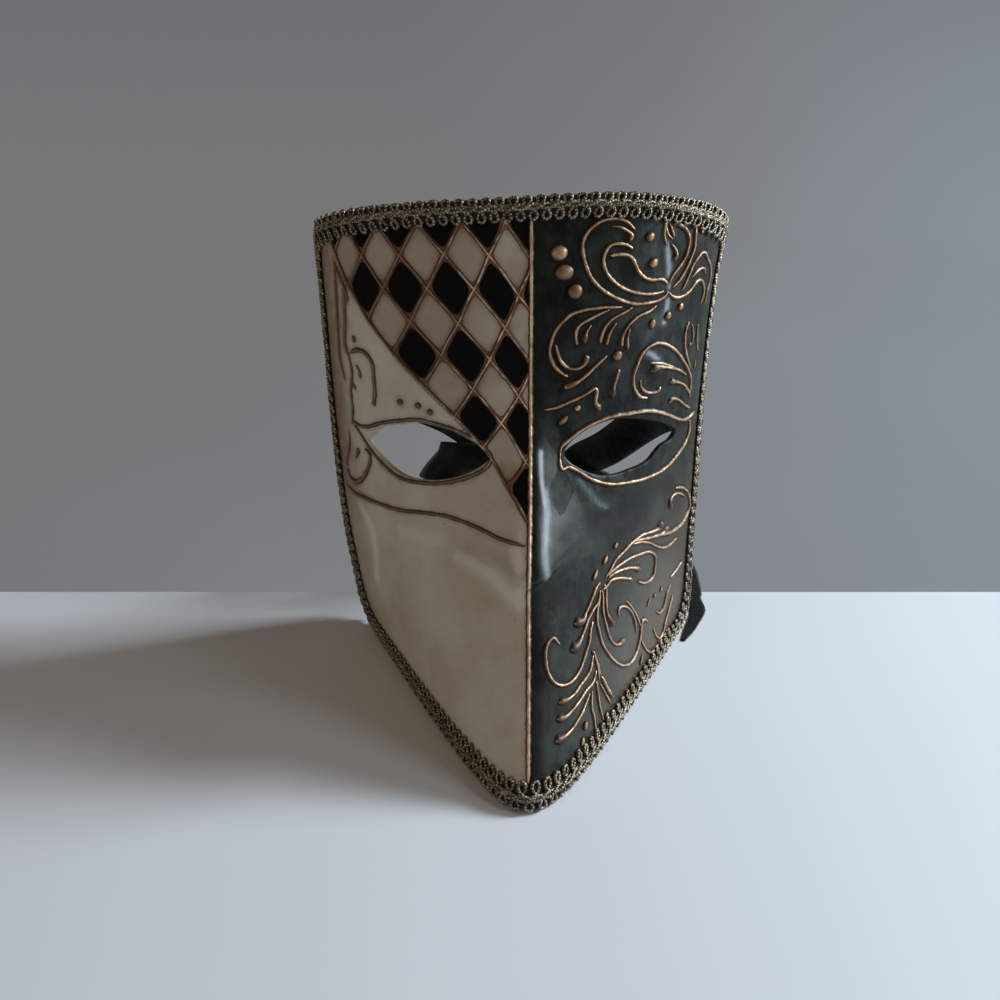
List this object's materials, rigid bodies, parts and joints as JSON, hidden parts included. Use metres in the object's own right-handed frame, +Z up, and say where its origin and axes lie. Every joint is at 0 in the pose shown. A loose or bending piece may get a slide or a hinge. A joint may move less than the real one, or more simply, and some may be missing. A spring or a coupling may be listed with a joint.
{
  "type": "harlequin mask",
  "caption": "Full-face bauta carnival mask with a jutting prow of a jaw and open eyes, half check and half scrollwork, its rim bound in braid, with satin ties knotted in a bow behind.",
  "frame": {"origin": "on the table, under the middle of the whole outline with its ties", "axes": "+Z up, along the longest extent; the face looks along -Y, and +X is on the viewer's right, the scrollwork side"},
  "size_m": [0.202, 0.2184, 0.2312],
  "materials": {
    "painted_paper": "satin",
    "gold_braid": "satin",
    "black_satin": "satin"
  },
  "bodies": {
    "root": {"mask_shell": "painted_paper", "rim_braid": "gold_braid", "tie_left": "black_satin", "tie_right": "black_satin"}
  },
  "joints": []
}
